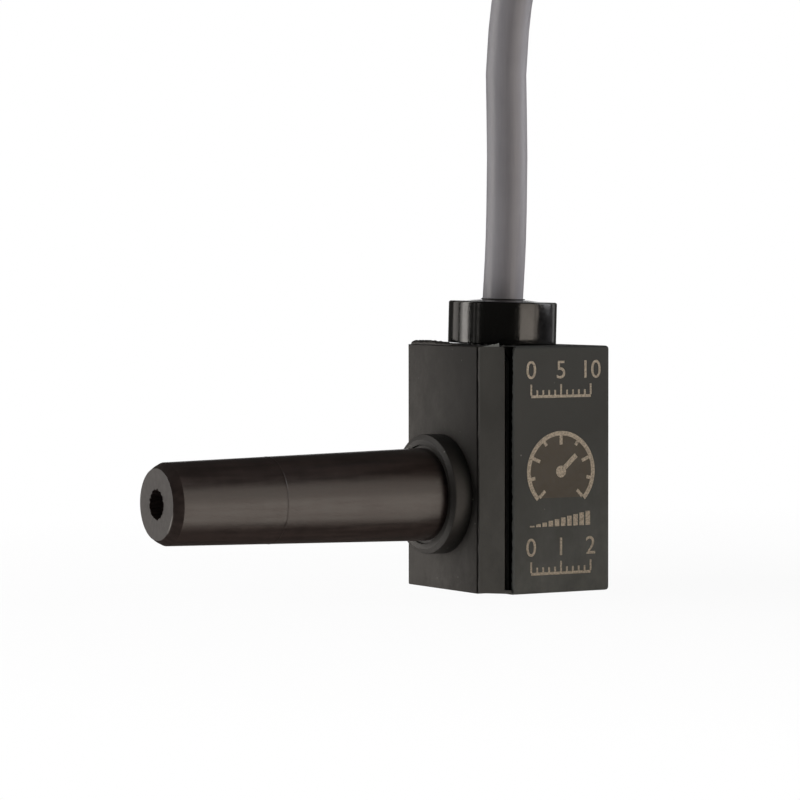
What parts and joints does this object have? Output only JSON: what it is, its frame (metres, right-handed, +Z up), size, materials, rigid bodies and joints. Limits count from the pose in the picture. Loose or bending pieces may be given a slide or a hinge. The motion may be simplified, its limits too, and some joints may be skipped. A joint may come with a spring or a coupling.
{
  "type": "pressure sensor",
  "caption": "Small black block pressure sensor with a round push-in sleeve on one side, a gland ring on top and a grey cable ending in bare cores.",
  "frame": {"origin": "on the sleeve's axis, in the front face of its collar, where a push-in fitting stops", "axes": "+X along the sleeve into the housing, +Z up along the cable exit, the marked face looks towards -Y"},
  "size_m": [0.0949, 0.0463, 0.0538],
  "materials": {
    "housing": "moulded warm black polyamide, matte",
    "carrier": "moulded black polyamide, matte",
    "gland": "polished black",
    "rubber": "moulded black rubber",
    "sheath": "extruded grey polyurethane",
    "resin": "cast resin",
    "ceramic": "sintered white ceramic",
    "silicon": "polished",
    "tin": "tinned sheet",
    "pin": "gold-plated",
    "board": "green solder mask",
    "chip": "black moulding compound",
    "capacitor": "sintered brown ceramic",
    "solder": "bright solder",
    "clamp": "stamped stainless steel",
    "core_brown": "extruded brown insulation",
    "core_black": "extruded black insulation",
    "core_blue": "extruded blue insulation",
    "copper": "bare stranded copper"
  },
  "bodies": {
    "root": {"port_body": "housing", "carrier": "carrier", "shell": "housing", "resin_bead": "resin", "gland_ring": "gland", "cable_seal": "rubber", "cable_end": "sheath", "cable_clamp": "clamp", "inner_core_brown": "core_brown", "inner_core_black": "core_black", "inner_core_blue": "core_blue", "port_seal": "rubber", "cell_header": "ceramic", "cell_die": "silicon", "cell_cover": "tin", "cell_pin_1": "pin", "cell_pin_2": "pin", "cell_pin_3": "pin", "cell_pin_4": "pin", "circuit_board": "board", "amplifier_chip": "chip", "capacitor_1": "capacitor", "capacitor_2": "capacitor", "solder_joint_1": "solder", "solder_joint_2": "solder", "solder_joint_3": "solder", "cable_run": "sheath", "cable_coil": "sheath", "cable_tail": "sheath", "end_core_brown": "core_brown", "end_core_black": "core_black", "end_core_blue": "core_blue", "end_wire_brown": "copper", "end_wire_black": "copper", "end_wire_blue": "copper"}
  },
  "joints": []
}
